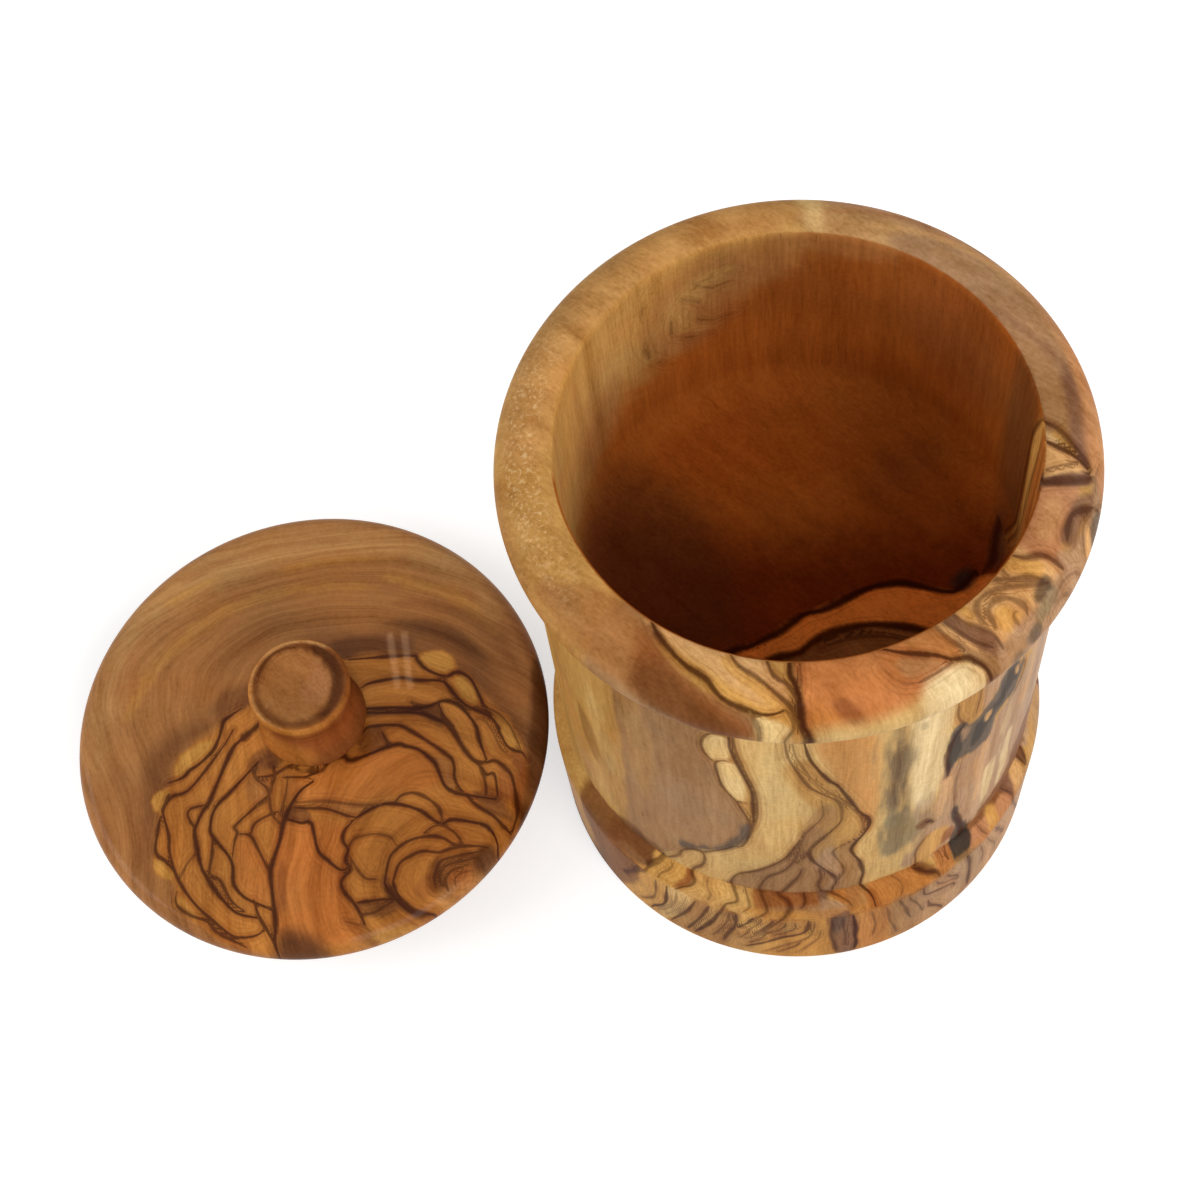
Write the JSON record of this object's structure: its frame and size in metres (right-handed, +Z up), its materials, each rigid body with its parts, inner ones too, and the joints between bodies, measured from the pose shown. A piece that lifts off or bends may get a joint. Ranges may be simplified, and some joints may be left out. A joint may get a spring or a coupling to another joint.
{
  "type": "lidded bowl",
  "caption": "Turned wooden lidded bowl with a rounded collar, straight waist and heavy foot; the domed lid with its knob lies flat beside it.",
  "frame": {"origin": "centre of the bowl's flat foot, on the surface it stands on", "axes": "+Z up along the bowl's turning axis, -X from the bowl towards the lid that lies beside it, -Y the front"},
  "size_m": [0.2128, 0.106, 0.1356],
  "materials": {
    "bowl_wood": "oiled olive wood, satin, golden sapwood with brown and grey figure",
    "lid_wood": "oiled olive wood, satin, brown heartwood and a network of dark lines on orange wood",
    "knob_wood": "oiled olive wood, satin, plain brown",
    "dowel_wood": "bare straight-grained wood"
  },
  "bodies": {
    "bowl": {"pot_body": "bowl_wood"},
    "lid_with_knob": {"lid": "lid_wood", "lid_knob": "knob_wood", "knob_dowel": "dowel_wood"}
  },
  "joints": [
    {"name": "lid_lift", "type": "slide", "parent": "bowl", "child": "lid_with_knob", "axis": [0, 0, 1], "range_m": [0, 0.146]}
  ]
}
